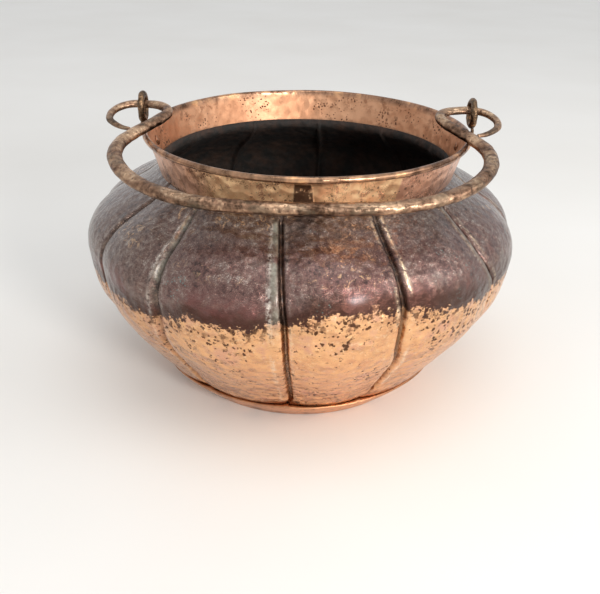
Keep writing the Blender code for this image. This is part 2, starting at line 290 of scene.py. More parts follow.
# ---- small helpers for materials ----
class Look:
    """A material whose nodes are added with short calls and fed by object coordinates, in metres."""

    def __init__(self, name):
        self.material = bpy.data.materials.new(name)
        self.material.use_nodes = True
        self.tree = self.material.node_tree
        self.shader = self.tree.nodes["Principled BSDF"]
        self.place = self.tree.nodes.new("ShaderNodeTexCoord").outputs["Object"]

    def node(self, kind, **settings):
        made = self.tree.nodes.new(kind)
        for key, value in settings.items():
            setattr(made, key, value)
        return made

    def feed(self, socket, value):
        if isinstance(value, bpy.types.NodeSocket):
            self.tree.links.new(value, socket)
        elif isinstance(value, tuple) and len(value) == 3 and socket.type == "RGBA":
            socket.default_value = (*value, 1.0)
        else:
            socket.default_value = value

    def fed(self, made, **values):
        for name, value in values.items():
            self.feed(made.inputs[name], value)
        return made

    def math(self, operation, *values):
        made = self.node("ShaderNodeMath", operation=operation)
        for socket, value in zip(made.inputs, values):
            self.feed(socket, value)
        return made.outputs[0]

    def chain(self, operation, values):
        """The values taken together two by two, which may be numbers or sockets."""
        total = values[0]
        for value in values[1:]:
            total = self.math(operation, total, value)
        return total

    def add(self, *values):
        return self.chain("ADD", values)

    def times(self, *values):
        return self.chain("MULTIPLY", values)

    def either(self, *values):
        return self.chain("MAXIMUM", values)

    def opposite(self, value):
        return self.math("SUBTRACT", 1.0, value)

    def sway(self, value, reach):
        """A pattern from 0 to 1, turned into one that sways about zero, this far from end to end."""
        return self.times(self.add(value, -0.5), reach)

    def stretched(self, x, y, z):
        made = self.node("ShaderNodeMapping")
        return self.fed(made, Vector=self.place, Scale=(x, y, z)).outputs[0]

    def noise(self, scale, detail=3.0, roughness=0.55, distortion=0.0, where=None):
        made = self.node("ShaderNodeTexNoise")
        self.fed(made, Vector=where or self.place, Scale=scale, Detail=detail)
        return self.fed(made, Roughness=roughness, Distortion=distortion).outputs["Fac"]

    def cells(self, scale, feature="F1", where=None, smoothness=0.4):
        made = self.node("ShaderNodeTexVoronoi", feature=feature)
        self.fed(made, Vector=where or self.place, Scale=scale)
        if feature == "SMOOTH_F1":
            self.fed(made, Smoothness=smoothness)
        return made.outputs["Distance"]

    def between(self, value, low, high):
        """0 where value is at low, 1 where it is at high, smooth between; low may be above high."""
        made = self.node("ShaderNodeMapRange", interpolation_type="SMOOTHSTEP")
        for socket, number in zip(made.inputs, (value, low, high, 0.0, 1.0)):
            self.feed(socket, number)
        return made.outputs[0]

    def band(self, value, start, end, soft):
        """1 from start to end, falling to 0 within soft on either side."""
        rise = self.between(value, start - soft, start + soft)
        fall = self.between(value, end + soft, end - soft)
        return self.times(rise, fall)

    def mix(self, share, first, second):
        made = self.node("ShaderNodeMix", data_type="RGBA")
        self.feed(made.inputs["Factor"], share)
        self.feed(made.inputs[6], first)
        self.feed(made.inputs[7], second)
        return made.outputs[2]

    def laid(self, under, over, *shares):
        """One colour with another laid over it, as strongly as the product of the shares."""
        return self.mix(self.times(*shares), under, over)

    def blend_number(self, share, first, second):
        made = self.node("ShaderNodeMix", data_type="FLOAT")
        self.feed(made.inputs[0], share)
        self.feed(made.inputs[2], first)
        self.feed(made.inputs[3], second)
        return made.outputs[0]

    def shades(self, value, *stops):
        """A colour ramp of (position, colour) stops."""
        made = self.node("ShaderNodeValToRGB")
        self.feed(made.inputs[0], value)
        ramp = made.color_ramp
        while len(ramp.elements) < len(stops):
            ramp.elements.new(0.5)
        for element, (position, colour) in zip(ramp.elements, stops):
            element.position = position
            element.color = (*colour, 1.0)
        return made.outputs[0]

    def table(self, value, stops):
        """A number looked up between the given (value, result) stops."""
        first, last = stops[0][0], stops[-1][0]
        results = [result for _, result in stops]
        low, high = min(results), max(results)
        share = self.math("DIVIDE", self.add(value, -first), last - first)
        greys = [
            ((at - first) / (last - first), ((result - low) / (high - low),) * 3) for at, result in stops
        ]
        return self.add(self.times(self.shades(share, *greys), high - low), low)

    def mark(self, name):
        return self.node("ShaderNodeAttribute", attribute_name=name).outputs["Fac"]

    def axes(self):
        made = self.node("ShaderNodeSeparateXYZ")
        self.feed(made.inputs[0], self.place)
        return made.outputs[0], made.outputs[1], made.outputs[2]

    def turn_angle(self):
        """Degrees round the pot from its front, towards +X."""
        x, y, _ = self.axes()
        return self.math("DEGREES", self.math("ARCTAN2", x, self.math("MULTIPLY", y, -1.0)))

    def bumps(self, *layers):
        """Bump nodes one after another, each from (height, distance in metres, strength)."""
        normal = None
        for height, distance, strength in layers:
            made = self.node("ShaderNodeBump")
            self.fed(made, Strength=strength, Distance=distance, Height=height)
            if normal:
                self.fed(made, Normal=normal)
            normal = made.outputs[0]
        return normal

    def finish(self, colour, metallic, roughness, normal):
        names = ("Base Color", "Metallic", "Roughness", "Normal")
        for name, value in zip(names, (colour, metallic, roughness, normal)):
            self.feed(self.shader.inputs[name], value)
        return self.material


# colours, as linear light
BRIGHT_COPPER = (0.74, 0.385, 0.200)
PINK_COPPER = (0.74, 0.395, 0.250)
GOLDEN = (0.86, 0.485, 0.240)
BROWN_COPPER = (0.34, 0.160, 0.085)
DARK_BROWN = (0.050, 0.024, 0.014)
SPECK_BROWN = (0.075, 0.027, 0.012)
DEEP_PURPLE = (0.042, 0.023, 0.020)
PURPLE_BROWN = (0.160, 0.078, 0.064)
GREY_PATINA = (0.220, 0.142, 0.116)
PALE_PATINA_GLINT = (0.46, 0.385, 0.34)
DARK_OLIVE = (0.045, 0.036, 0.026)
OLIVE_PATINA = (0.120, 0.100, 0.070)
PALE_OLIVE = (0.27, 0.24, 0.20)
RED_CUPRITE = (0.17, 0.040, 0.036)
SCORCHED_BROWN = (0.058, 0.021, 0.012)
WORN_GOLD = (0.62, 0.40, 0.23)
GLINT_GOLD = (1.0, 0.78, 0.52)
SHADED_COPPER = (0.42, 0.215, 0.120)
FOOT_DARK_COPPER = (0.30, 0.165, 0.105)
GROOVE_SHADE_BLACK = (0.030, 0.017, 0.011)
GROOVE_SHADE_BROWN = (0.13, 0.055, 0.025)
LOW_LIP_HIGHLIGHT = (1.0, 0.80, 0.58)
PALE_LIP_HIGHLIGHT = (0.80, 0.72, 0.63)
GOLDEN_LIP_HIGHLIGHT = (0.97, 0.76, 0.52)
INSIDE_BLACK = (0.012, 0.010, 0.008)
DARK_VERDIGRIS = (0.17, 0.16, 0.12)
VERDIGRIS = (0.245, 0.245, 0.190)
TURQUOISE = (0.16, 0.34, 0.32)
DULL_COPPER = (0.66, 0.34, 0.19)
COLLAR_BROWN = (0.66, 0.37, 0.24)
COLLAR_AMBER = (0.70, 0.42, 0.24)
COLLAR_GOLD = (0.95, 0.64, 0.36)
COLLAR_ROSE = (0.66, 0.36, 0.24)
LAP_BROWN = (0.085, 0.042, 0.026)
WORM_BROWN = (0.14, 0.062, 0.030)
INNER_DARK = (0.54, 0.27, 0.150)
INNER_WARM = (0.68, 0.38, 0.225)
INNER_LIGHT = (0.74, 0.42, 0.26)
INNER_STAIN = (0.42, 0.205, 0.110)
NECK_SHADE = (0.16, 0.075, 0.045)
BEAD_DARK = (0.14, 0.075, 0.045)
BEAD_BROWN = (0.40, 0.22, 0.135)
TOP_HIGHLIGHT_GOLD = (0.95, 0.72, 0.48)
IRON = (0.10, 0.085, 0.075)
RUST = (0.20, 0.10, 0.055)
BAIL_BODY, BAIL_HOLLOWS, BAIL_BRIGHT = (0.27, 0.155, 0.098), (0.060, 0.033, 0.020), (0.70, 0.46, 0.29)
EYE_BODY, EYE_HOLLOWS = (0.22, 0.135, 0.078), (0.055, 0.034, 0.020)
COAT_SHARE = 0.5
COAT_ROUGHNESS = 0.24


def speckle(look, scale, amount, patch_scale, patch_amount):
    """Small dark specks that gather in patches."""
    wobble = look.sway(look.noise(scale * 1.7, 2.0, 0.6), 0.9)
    size = look.times(look.noise(scale * 0.31, 1.0), amount)
    specks = look.between(look.add(look.cells(scale), wobble), size, look.times(size, 0.6))
    patches = look.between(look.noise(patch_scale, 3.0, 0.6), 1 - patch_amount, 1 - patch_amount + 0.08)
    return look.times(specks, patches)


def bowl_patterns(look):
    """The places, noises and marks that the bowl's colours share."""
    _, _, height = look.axes()
    on = SimpleNamespace(height=height, angle=look.turn_angle())
    on.wide = look.noise(11.0, 3.0, 0.55)
    on.middle = look.noise(62.0, 4.0, 0.62)
    on.fine = look.noise(270.0, 4.0, 0.68)
    on.grain = look.noise(560.0, 3.0, 0.75, 1.6)
    on.lying = look.stretched(1.0, 1.0, 3.0)
    on.streaks = look.between(look.noise(36.0, 6.0, 0.72, where=on.lying), 0.47, 0.66)
    on.crease, on.green, on.line = look.mark("crease"), look.mark("green"), look.mark("line")
    on.inside = look.mark("inside")

    # the irregular line between the patina above and the polished copper below
    edge = look.add(
        look.table(on.angle, PATINA_EDGE), look.sway(on.middle, 0.028), look.sway(on.fine, 0.026)
    )
    on.above = look.math("SUBTRACT", height, edge)
    on.over = look.between(on.above, -0.0010, 0.0010)

    # the scorched strip just above that line reaches higher on the right
    reach = look.blend_number(look.between(on.angle, 16.0, 34.0), 0.018, 0.027)
    ragged = look.add(on.above, look.sway(on.fine, 0.018))
    on.scorched = look.between(ragged, reach, look.times(reach, 0.35))
    return on


def patina_colour(look, on):
    """Purple-brown and grey, olive in places, redder and darker towards its lower edge."""
    # mottled patina; its palest flecks are partly real mottling and partly painted glints
    mottled = look.shades(
        look.add(look.times(on.middle, 0.30), look.times(on.fine, 0.35), look.times(on.grain, 0.35)),
        (0.40, DEEP_PURPLE), (0.48, PURPLE_BROWN), (0.55, GREY_PATINA), (0.64, PALE_PATINA_GLINT),
    )
    left_part = look.times(
        look.between(on.angle, -22.0, -50.0), look.between(on.angle, -110.0, -80.0), 0.8
    )
    shoulder = look.between(look.add(on.height, look.times(on.wide, 0.02)), 0.190, 0.212)
    olive = look.either(left_part, look.between(on.wide, 0.56, 0.70), shoulder)
    greyish = look.shades(
        look.add(look.times(on.fine, 0.5), look.times(on.grain, 0.5)),
        (0.42, DARK_OLIVE), (0.50, OLIVE_PATINA), (0.58, PALE_OLIVE),
    )
    colour = look.mix(look.times(olive, 0.45), mottled, greyish)

    reddish = look.times(
        look.between(on.above, 0.036, 0.006), look.between(look.noise(24.0, 3.0, 0.6), 0.42, 0.62)
    )
    redness = look.blend_number(look.between(on.angle, 2.0, -8.0), 0.45, 0.80)
    colour = look.laid(colour, RED_CUPRITE, reddish, redness)
    colour = look.laid(colour, SCORCHED_BROWN, on.scorched, 0.88)

    spots = look.times(
        look.between(look.cells(420.0), 0.26, 0.14), look.between(look.noise(26.0, 2.0), 0.62, 0.68)
    )
    colour = look.laid(colour, TURQUOISE, spots, 0.8)
    rubbed_through = look.times(
        look.between(look.noise(19.0, 2.0), 0.54, 0.62), look.between(on.height, 0.164, 0.178)
    )
    worn = look.times(look.between(look.noise(120.0, 4.0, 0.7, 1.5), 0.57, 0.64), rubbed_through)
    return look.laid(colour, WORN_GOLD, worn, 0.65)


def bowl_specks(look, on):
    """Specks in clusters, flakes just below the patina, and a few lone ones."""
    close = look.between(on.above, -0.032, -0.002)
    gather = look.between(look.add(look.noise(24.0, 4.0, 0.65), look.times(close, 0.13)), 0.53, 0.60)
    dots = look.add(look.cells(225.0), look.sway(look.noise(330.0, 3.0, 0.65), 1.5))
    size = look.add(0.22, look.times(look.between(look.noise(70.0, 2.0), 0.42, 0.62), 0.26))
    clustered = look.times(look.between(dots, size, look.times(size, 0.65)), gather)
    blots = look.noise(170.0, 4.0, 0.62)
    flaking = look.times(look.between(blots, 0.53, 0.57), look.between(on.above, -0.016, -0.002), 0.9)
    lone = look.times(look.between(blots, 0.64, 0.67), 0.8)
    return look.either(clustered, flaking, lone)


def polished_colour(look, on, specks):
    """Bright copper with brown streaks and specks, painted glints, painted shade on its left side and darker
    patches towards the foot.
    """
    colour = look.shades(on.middle, (0.34, BRIGHT_COPPER), (0.50, GOLDEN), (0.66, PINK_COPPER))
    low = look.between(on.height, 0.100, 0.030)
    # painted shade: the left side of the lower copper is darkened, and its brown streaks are strengthened
    # there
    shaded = look.between(on.angle, -16.0, -50.0)
    tarnish_and_left_shade = look.add(0.36, look.times(low, 0.42), look.times(shaded, 0.30))
    colour = look.laid(colour, BROWN_COPPER, on.streaks, tarnish_and_left_shade)
    # painted highlight: pale gold glints scattered over the copper above the foot
    painted_glints = look.times(look.between(on.fine, 0.56, 0.66), look.opposite(low), 0.3)
    colour = look.mix(painted_glints, colour, GLINT_GOLD)
    # painted shade on the left side, laid over the copper in a darker brown
    left_side_shade = look.times(shaded, look.between(on.middle, 0.30, 0.56), 0.55)
    colour = look.mix(left_side_shade, colour, SHADED_COPPER)
    # darker patches towards the foot
    darker_near_foot = look.between(look.noise(95.0, 5.0, 0.7), 0.47, 0.60)
    darker_near_foot = look.times(darker_near_foot, look.between(on.height, 0.070, 0.040), 0.55)
    colour = look.mix(darker_near_foot, colour, FOOT_DARK_COPPER)
    return look.laid(colour, SPECK_BROWN, specks, 0.94)


def creased_colour(look, on, colour):
    """The colour with painted shade in the grooves, green on the bands beside them and painted highlights
    along their lips.
    """
    # painted shade: the grooves are darkened where the creases fall into shadow
    groove = look.mix(look.between(on.fine, 0.45, 0.62), GROOVE_SHADE_BLACK, GROOVE_SHADE_BROWN)
    colour = look.mix(look.times(on.crease, look.blend_number(on.over, 0.80, 0.88)), colour, groove)
    mossy = look.mix(look.between(on.fine, 0.40, 0.58), DARK_VERDIGRIS, VERDIGRIS)
    colour = look.mix(look.times(on.green, look.between(on.middle, 0.36, 0.48), 0.85), colour, mossy)
    # painted highlight along the creases' raised lips: one tint on the polished copper, and on the patina
    # pale, turning golden between 12 and 22 degrees
    high_lip_highlight = look.mix(look.between(on.angle, 12.0, 22.0), PALE_LIP_HIGHLIGHT, GOLDEN_LIP_HIGHLIGHT)
    lip_colour = look.mix(on.over, LOW_LIP_HIGHLIGHT, high_lip_highlight)
    return look.mix(look.times(on.line, look.between(on.fine, 0.38, 0.52), 0.85), colour, lip_colour)


def bowl_look():
    look = Look("bowl_patina")
    on = bowl_patterns(look)
    specks = bowl_specks(look, on)
    colour = look.mix(on.over, polished_colour(look, on, specks), patina_colour(look, on))
    colour = creased_colour(look, on, colour)
    # the inside is near-black
    colour = look.mix(on.inside, colour, look.shades(on.middle, (0.4, INSIDE_BLACK), (0.7, DARK_BROWN)))

    polish = look.add(
        0.14, look.times(on.middle, 0.18), look.times(on.streaks, 0.12), look.times(specks, 0.25)
    )
    roughness = look.blend_number(on.over, polish, look.add(0.06, look.times(on.grain, 0.32)))
    roughness = look.blend_number(on.inside, roughness, 0.80)
    roughness = look.blend_number(look.times(on.green, 0.7), roughness, 0.55)
    patina_dulls = look.times(on.over, look.opposite(on.line), 0.15)
    metallic = look.opposite(look.either(look.times(on.green, 0.6), on.inside, patina_dulls))
    uncoated = look.either(on.inside, look.times(on.scorched, 0.7))
    look.feed(look.shader.inputs["Coat Weight"], look.times(look.opposite(uncoated), COAT_SHARE))
    look.shader.inputs["Coat Roughness"].default_value = COAT_ROUGHNESS
    normal = look.bumps(
        (look.cells(120.0, "SMOOTH_F1"), 0.0026, 0.60),
        (look.noise(210.0, 4.0, 0.6, where=on.lying), 0.0007, 0.6),
        (on.grain, look.blend_number(on.over, 0.00010, 0.00030), 0.8),
        (look.times(specks, -1.0), 0.0003, 0.5),
    )
    return look.finish(colour, metallic, roughness, normal)


def pan_look():
    look = Look("pan_copper")
    _, _, height = look.axes()
    wide = look.noise(22.0, 4.0, 0.6)
    copper = look.shades(wide, (0.36, BROWN_COPPER), (0.46, DULL_COPPER), (0.60, BRIGHT_COPPER))
    scuffs = look.between(look.noise(240.0, 3.0, 0.6), 0.56, 0.66)
    colour = look.mix(look.times(scuffs, 0.5), copper, DARK_BROWN)
    colour = look.laid(colour, BROWN_COPPER, look.between(height, 0.0012, 0.0), 0.5)
    colour = look.laid(colour, BROWN_COPPER, look.between(height, 0.0232, 0.0245), 0.6)
    inside = look.mark("inside")
    colour = look.mix(inside, colour, look.shades(wide, (0.4, INSIDE_BLACK), (0.7, DARK_BROWN)))
    roughness = look.blend_number(inside, look.add(0.26, look.times(wide, 0.3)), 0.80)
    normal = look.bumps((look.cells(150.0, "SMOOTH_F1"), 0.0008, 0.5), (look.noise(500.0), 0.00015, 0.5))
    return look.finish(colour, look.opposite(inside), roughness, normal)


def collar_look():
    look = Look("collar_copper")
    _, _, height = look.axes()
    angle = look.turn_angle()
    wide = look.noise(16.0, 3.0, 0.55)
    middle = look.noise(70.0, 4.0, 0.62)
    streaky = look.noise(60.0, 4.0, 0.65, where=look.stretched(1.0, 1.0, 0.60))
    fine = look.noise(210.0, 3.0, 0.6)
    inside = look.mark("inside")
    bead = look.mark("bead")
    turned = look.add(angle, look.sway(fine, 5.0))

    # the outside, from its brown left part through the polished patches to the smooth right part
    brown = look.shades(streaky, (0.30, DARK_BROWN), (0.40, BROWN_COPPER), (0.52, COLLAR_BROWN))
    golden = look.shades(
        streaky, (0.32, BROWN_COPPER), (0.40, COLLAR_AMBER), (0.46, COLLAR_GOLD), (0.70, BRIGHT_COPPER)
    )
    pink = look.shades(streaky, (0.30, BROWN_COPPER), (0.42, COLLAR_ROSE), (0.70, PINK_COPPER))
    outer = look.mix(look.between(turned, -40.0, -26.0), brown, golden)
    outer = look.mix(look.between(angle, 31.0, 31.8), outer, pink)
    outer = look.mix(look.between(angle, 125.0, 150.0), outer, brown)
    lap = look.times(look.mark("lap"), look.between(fine, 0.34, 0.44), 0.92)
    outer = look.mix(lap, outer, LAP_BROWN)
    worm = look.noise(210.0, 3.0, 0.68, 1.0)
    worm = look.times(look.band(worm, 0.545, 0.575, 0.012), look.between(look.noise(38.0, 2.0), 0.46, 0.56))
    outer = look.laid(outer, WORM_BROWN, worm, 0.85)

    # the inside: warm copper, stained near the rim and darker towards the neck
    warm = look.shades(wide, (0.35, INNER_DARK), (0.55, INNER_WARM), (0.72, INNER_LIGHT))
    warm = look.laid(warm, INNER_STAIN, look.between(middle, 0.48, 0.66), 0.55)
    stains = look.between(look.noise(95.0, 4.0, 0.7), 0.53, 0.62)
    stains = look.times(stains, look.between(height, 0.219, 0.236))
    warm = look.laid(warm, BROWN_COPPER, stains, 0.75)
    near_neck = look.add(height, look.sway(middle, 0.016))
    warm = look.laid(warm, NECK_SHADE, look.between(near_neck, 0.2175, 0.2120), 0.70)
    colour = look.mix(inside, outer, warm)

    specks = look.either(speckle(look, 330.0, 0.62, 30.0, 0.50), speckle(look, 190.0, 0.60, 22.0, 0.42))
    colour = look.laid(colour, SPECK_BROWN, specks, 0.9)
    lip_colour = look.shades(streaky, (0.38, BEAD_DARK), (0.54, BEAD_BROWN), (0.68, GOLDEN))
    colour = look.mix(look.times(bead, 0.9), colour, lip_colour)

    roughness = look.add(
        0.18, look.times(streaky, 0.22), look.times(specks, 0.3), look.times(inside, 0.20)
    )
    normal = look.bumps(
        (look.cells(105.0, "SMOOTH_F1"), 0.0014, 0.50),
        (look.noise(260.0, 3.0, 0.6, where=look.stretched(1.0, 1.0, 0.5)), 0.00035, 0.5),
        (specks, 0.0002, 0.35),
    )
    return look.finish(colour, look.opposite(look.times(specks, 0.3)), roughness, normal)


def bar_look(name, body, dark, bright, grain=1.0):
    """Forged metal: dull body, dark hollows, and a painted highlight where its top-highlight mark, if it has
    one, says so.
    """
    look = Look(name)
    wide = look.noise(40.0 * grain, 3.0, 0.6)
    fine = look.noise(260.0 * grain, 4.0, 0.65)
    pits = look.between(look.noise(430.0 * grain, 3.0, 0.6), 0.60, 0.66)
    scratches = look.noise(150.0 * grain, 4.0, 0.7, where=look.stretched(0.25, 0.8, 1.6))
    mottled = look.add(look.times(wide, 0.45), look.times(fine, 0.35), look.times(scratches, 0.20))
    colour = look.shades(mottled, (0.40, dark), (0.50, body), (0.64, bright))
    tinged = look.between(look.noise(60.0 * grain, 3.0, 0.6), 0.52, 0.62)
    colour = look.laid(colour, OLIVE_PATINA, tinged, 0.45)
    # painted highlight on the bar's top, where the roughness is also lower
    painted_top_highlight = look.times(look.mark("painted_top_highlight"), look.between(scratches, 0.36, 0.56))
    shine = look.mix(look.between(fine, 0.50, 0.64), bright, TOP_HIGHLIGHT_GOLD)
    colour = look.mix(look.times(painted_top_highlight, 0.62), colour, shine)
    colour = look.laid(colour, DARK_BROWN, pits, 0.8)
    roughness = look.add(look.blend_number(painted_top_highlight, 0.26, 0.14), look.times(fine, 0.26))
    normal = look.bumps(
        (look.cells(190.0 * grain, "SMOOTH_F1"), 0.0011, 0.55),
        (fine, 0.0004, 0.6),
        (pits, 0.0003, 0.5),
    )
    return look.finish(colour, look.opposite(look.times(pits, 0.3)), roughness, normal)


def wire_look():
    look = Look("wire_iron")
    rust = look.noise(400.0, 4.0, 0.65)
    colour = look.shades(rust, (0.40, IRON), (0.60, RUST))
    roughness = look.add(0.5, look.times(rust, 0.4))
    return look.finish(colour, look.between(rust, 0.62, 0.45), roughness, look.bumps((rust, 0.0002, 0.6)))


# ---- bowl ----
ROW_STEP = 0.0025
INNER_ROW_STEP = 0.0080
COLUMN_STEP = 1.15  # degrees
# where the columns beside a crease stand, in its half widths
CREASE_SHARES = (0.0, 0.20, 0.38, 0.54, 0.70, 0.88, 1.08, 1.30, 1.58, 1.90, 2.25, 2.65)
LINE_HEIGHT = 0.0006
BAND_HEIGHT = 0.0010
RIM_GAP = 0.0003  # between the bowl and the pan's rim
FACET = 0.0095
FACET_DEPTH = 0.00046
UNEVEN = 0.0012
LOBE_POWER = 2.2
LIP_WIDTH = 0.26  # of a bright line, in half widths of a crease
# heights between which the relief and the strays fade out
NECK_FADE = (0.212, 0.200)
FOOT_FADE = (0.024, 0.034)
GREEN_RISE = (0.120, 0.165)  # heights between which the verdigris sets in


def lobe_columns():
    """The columns round the bowl, as six rows of numbers.

    They are the angle, the half widths past the nearest crease, the place across the lobe from -1 to 1,
    the crease before, the share of the way to the next one, and the nearest crease.
    """
    columns = []
    count = len(CREASE_AT)
    near = np.array(CREASE_SHARES) * CREASE_HALF_WIDTH
    for i, start in enumerate(CREASE_AT):
        width = (CREASE_AT[(i + 1) % count] - start) % 360.0
        steps_between = round((width - 2 * near[-1]) / COLUMN_STEP)
        middle = np.linspace(near[-1], width - near[-1], steps_between + 1)[1:-1]
        steps = np.concatenate([near, middle, width - near[:0:-1]])
        for step in steps:
            past = (step if step < width / 2 else step - width) / CREASE_HALF_WIDTH
            nearest = i if step < width / 2 else (i + 1) % count
            columns.append((start + step, past, 2 * step / width - 1, i, step / width, nearest))
    return np.array(columns).T


def crease_wander(height, before, share):
    """How far the creases stray from straight lines, in degrees, shared out over the lobes between them."""
    stray = []
    for i in range(len(CREASE_AT)):
        if i in CREASE_STRAY:
            stray.append(table_value(CREASE_STRAY[i], height))
        else:
            at = [Vector((i * 7.1, z / FREE_STRAY_LENGTH, 0.4)) for z in height]
            stray.append([FREE_STRAY * noise.noise(place) for place in at])
    stray = np.array(stray)
    after = (before + 1) % len(CREASE_AT)
    return stray[before].T * (1 - share) + stray[after].T * share


def hollow(height, across, groove):
    """How deep the bowl's sheet lies inside its crown, by height and by place across a lobe."""
    depth = table_value(SWELL, height)[:, None] * (np.abs(across) ** LOBE_POWER)[None, :]
    return depth + table_value(CREASE, height)[:, None] * groove[None, :]


def crease_groove(past, wide):
    """1 in the middle of a crease, 0 from its edges outwards."""
    return smooth_step(1 - np.abs(past) / wide, 0.0, 0.75)


def lip_line(past):
    """1 on a bright line, fading to either side."""
    return np.exp(-(past / LIP_WIDTH) ** 2)


def make_bowl(material):
    crown = curve_through(BOWL_CROWN, ROW_STEP)
    inner_crown = curve_through(BOWL_CROWN, INNER_ROW_STEP)[::-1]
    angle, past, across, before, share, nearest = lobe_columns()
    before = before.astype(int)
    style = np.array(CREASE_STYLE)[nearest.astype(int)].T
    deep, wide, dark, left_at, left_line, right_at, right_line, band_at, band_width, band_green = style
    groove = crease_groove(past, wide)
    # the bright lines are raised a little, and the material paints a highlight along them
    line = left_line * lip_line(past - left_at) + right_line * lip_line(past - right_at)
    band = np.exp(-np.abs((past - band_at) / band_width) ** 3)
    raised = band * (np.abs(band_at) > 0.5)  # a band inside its groove isn't raised

    def sheet_side(profile, inset, dented):
        normals = outward_normals(profile) if dented else -outward_normals(profile)
        height = profile[:, 1]
        depth = hollow(height, across, groove * deep)
        foot_fade = smooth_step(height, *FOOT_FADE)[:, None]
        fade = smooth_step(height, *NECK_FADE)[:, None] * foot_fade
        depth = depth - (LINE_HEIGHT * line + BAND_HEIGHT * raised)[None, :] * fade
        turn = np.radians(angle[None, :] + crease_wander(height, before, share) * foot_fade)

        def place(depth):
            radius = profile[:, :1] - normals[:, :1] * depth
            level = profile[:, 1:] - normals[:, 1:] * depth
            return turned(radius, turn, level)

        rest = place(depth + inset)
        dents = UNEVEN * lumps(rest, 0.045, 3.0) * fade
        if dented:
            dents = dents - FACET_DEPTH * (hammer_marks(rest, FACET) - 0.35) * fade
        patchy = smooth_step(height, *GREEN_RISE)[:, None] * smooth_step(lumps(rest, 0.016, 5.0), -0.9, 0.0)
        marks = {
            # the crease mark carries the painted shade for the grooves
            "crease": (groove * dark)[None, :] * np.ones_like(depth) * fade,
            "line": line[None, :] * fade * smooth_step(lumps(rest, 0.020, 9.0), -0.45, 0.25),
            "green": (band * band_green)[None, :] * fade * patchy,
            "inside": np.zeros_like(depth) + (0.0 if dented else 1.0),
        }
        return settle(place(depth + inset + dents)), marks

    outer, outer_marks = sheet_side(crown, 0.0, True)
    inner, inner_marks = sheet_side(inner_crown, SHEET, False)
    points = np.concatenate([outer, inner])
    marks = {key: np.concatenate([outer_marks[key], inner_marks[key]]) for key in outer_marks}
    faces = grid_faces(len(points), len(angle), True)
    piece = add_piece("bowl_shell", points, faces, material, marks)
    settle_in(piece, "pot", "bowl")


# ---- pan ----
PAN_ROW_STEP = 0.0011
PAN_BASE_ROWS = 23
PAN_MIDDLE_R = 0.0006
PAN_CORNER_ROWS = 8  # inner rows next to the base, which keep the sheet's thickness
PAN_EDGE_ROWS = 3  # inner rows at the rim, which are as bright as the outside
PAN_BASE_EDGE = (0.1125, 0.100)  # radii between which the base's unevenness sets in
PAN_RIM_RISE = (0.006, 0.024)  # heights between which the rim's unevenness sets in


def make_pan(material):
    """The pan, with its rim dressed inwards until it lies against the bowl's creases."""
    angle, past, across, _, _, nearest = lobe_columns()
    deep, wide = np.array(CREASE_STYLE)[nearest.astype(int), :2].T
    groove = crease_groove(past, wide) * deep
    rim = curve_through(np.array(PAN_OUTSIDE)[2:], PAN_ROW_STEP)
    base_radii = np.linspace(PAN_MIDDLE_R, rim[0, 0], PAN_BASE_ROWS + 1)[:-1]
    flat = np.stack([base_radii, np.zeros(PAN_BASE_ROWS)], axis=1)
    outer = np.concatenate([flat, rim])
    normals = outward_normals(outer)
    inner = (outer - normals * PAN_SHEET)[::-1]
    profile = np.concatenate([outer, inner])
    turn = np.radians(angle)[None, :]
    radius = profile[:, :1] * np.ones_like(turn)

    dressed = len(rim) - PAN_CORNER_ROWS
    inner_rim = slice(len(outer), len(outer) + dressed)
    heights = inner[:dressed, 1]
    crown_r, crown_z = np.array(BOWL_CROWN).T
    crown = np.interp(heights, crown_z, crown_r)[:, None]
    against = crown - hollow(heights, across, groove) + RIM_GAP
    radius[inner_rim] = np.minimum(radius[inner_rim], against)

    points = turned(radius, turn, profile[:, 1:])
    rise = 0.00035 * (1 - hammer_marks(points, 0.011, 4.0)) + 0.0004 * lumps(points, 0.05, 2.0)
    points[..., 2] += np.maximum(rise, 0.0) * smooth_step(profile[:, :1], *PAN_BASE_EDGE)
    waves = 0.0010 * lumps(points * [1, 1, 0], 0.07, 5.0)
    points[..., 2] += waves * smooth_step(profile[:, 1:], *PAN_RIM_RISE)
    bright_rows = len(outer) + PAN_EDGE_ROWS
    is_inside = np.concatenate([np.zeros(bright_rows), np.ones(len(profile) - bright_rows)])
    marks = {"inside": is_inside[:, None] * np.ones_like(turn)}
    piece = add_piece("pan_shell", points, capped(points), material, marks)
    settle_in(piece, "pot", "bottom_pan")


# ---- collar ----
LAP_FROM, LAP_TO = -4.0, 0.8  # where the strip's end lies over its beginning, in degrees
LAP_RISE = 0.0006
LAP_EDGE = 0.25  # degrees over which the lap's edges rise
LAP_TOP = (0.2394, 0.2370)  # heights between which it sets in, under the roll
LAP_SLANT = 2.6 / 0.030  # how fast its right edge leans out downwards, in degrees per metre
LAP_RAGGED = 1.1  # degrees
COLLAR_WALL_TOP = 0.2388
INNER_ROWS, ROLL_ROWS, RETURN_ROWS, OUTER_ROWS = 17, 22, 12, 18
# where the roll starts and ends and where its inside comes back to, in degrees above outwards
ROLL_START, ROLL_END, RETURN_END = 172, -108, 150
COLLAR_STEP = 0.75  # degrees
COLLAR_SLOPE = (BEAD_R - BEAD_OUTER - COLLAR_FOOT_R) / (BEAD_Z - COLLAR_FOOT_Z)
COLLAR_LEAN = math.atan(COLLAR_SLOPE)


def collar_inner(height):
    return COLLAR_FOOT_R + (height - COLLAR_FOOT_Z) * COLLAR_SLOPE


